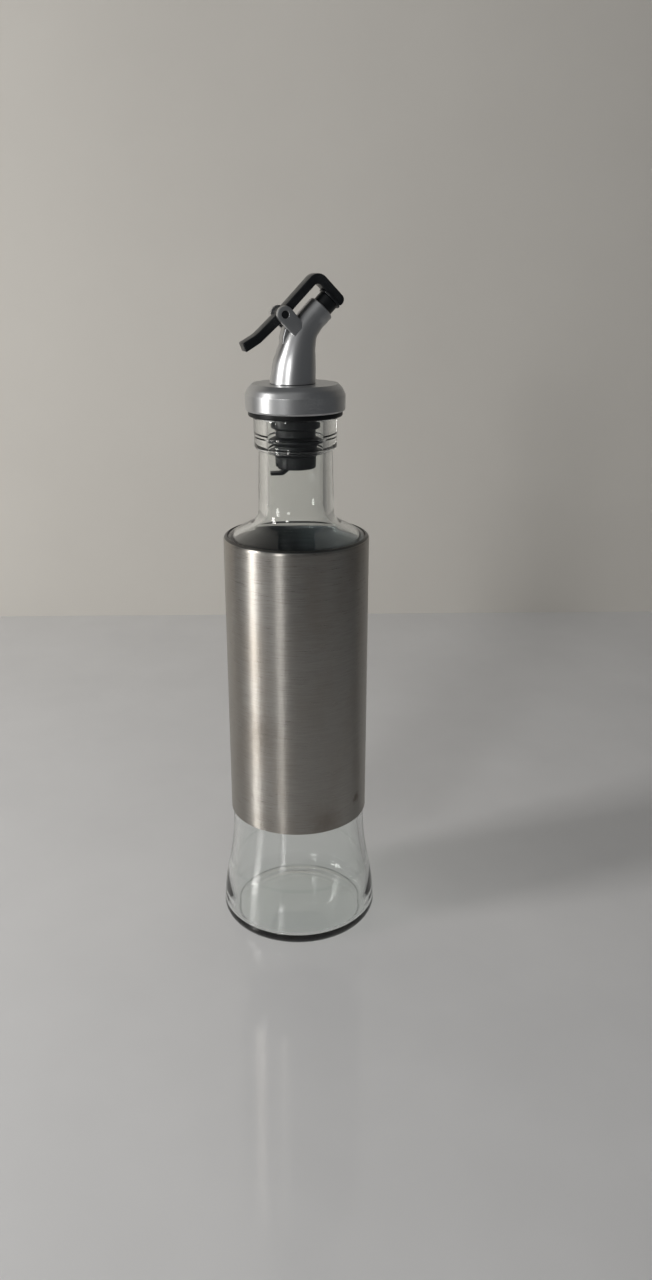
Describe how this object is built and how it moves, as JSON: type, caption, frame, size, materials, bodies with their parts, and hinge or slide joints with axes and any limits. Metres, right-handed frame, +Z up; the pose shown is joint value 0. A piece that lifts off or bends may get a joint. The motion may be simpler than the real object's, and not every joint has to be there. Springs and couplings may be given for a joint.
{
  "type": "oil dispenser bottle",
  "caption": "Clear glass oil bottle with a flared foot in a brushed steel sleeve, closed by a ribbed black stopper and a bent silver pouring spout with a black flip lever.",
  "frame": {"origin": "centre of the bottle's foot, on the table it stands on", "axes": "+Z up along the bottle's axis, +X the way the spout pours"},
  "size_m": [0.0726, 0.0726, 0.2931],
  "materials": {
    "clear_glass": "clear, smooth",
    "sleeve_steel": "brushed round the sleeve",
    "stopper_rubber": "smooth black",
    "silver_coat": "satin silver coat",
    "black_plastic": "black, lightly glossy",
    "lever_plastic": "black, lightly glossy"
  },
  "bodies": {
    "bottle": {"glass_bottle": "clear_glass", "steel_sleeve": "sleeve_steel", "rubber_stopper": "stopper_rubber", "pourer_spout": "silver_coat", "spout_nozzle": "black_plastic"},
    "lever": {"flip_lever": "lever_plastic"}
  },
  "joints": [
    {"name": "lever_hinge", "type": "hinge", "parent": "bottle", "child": "lever", "pos_m": [-0.00546, 0, 0.27766], "axis": [0, -1, 0], "range_deg": [0, 30]}
  ]
}
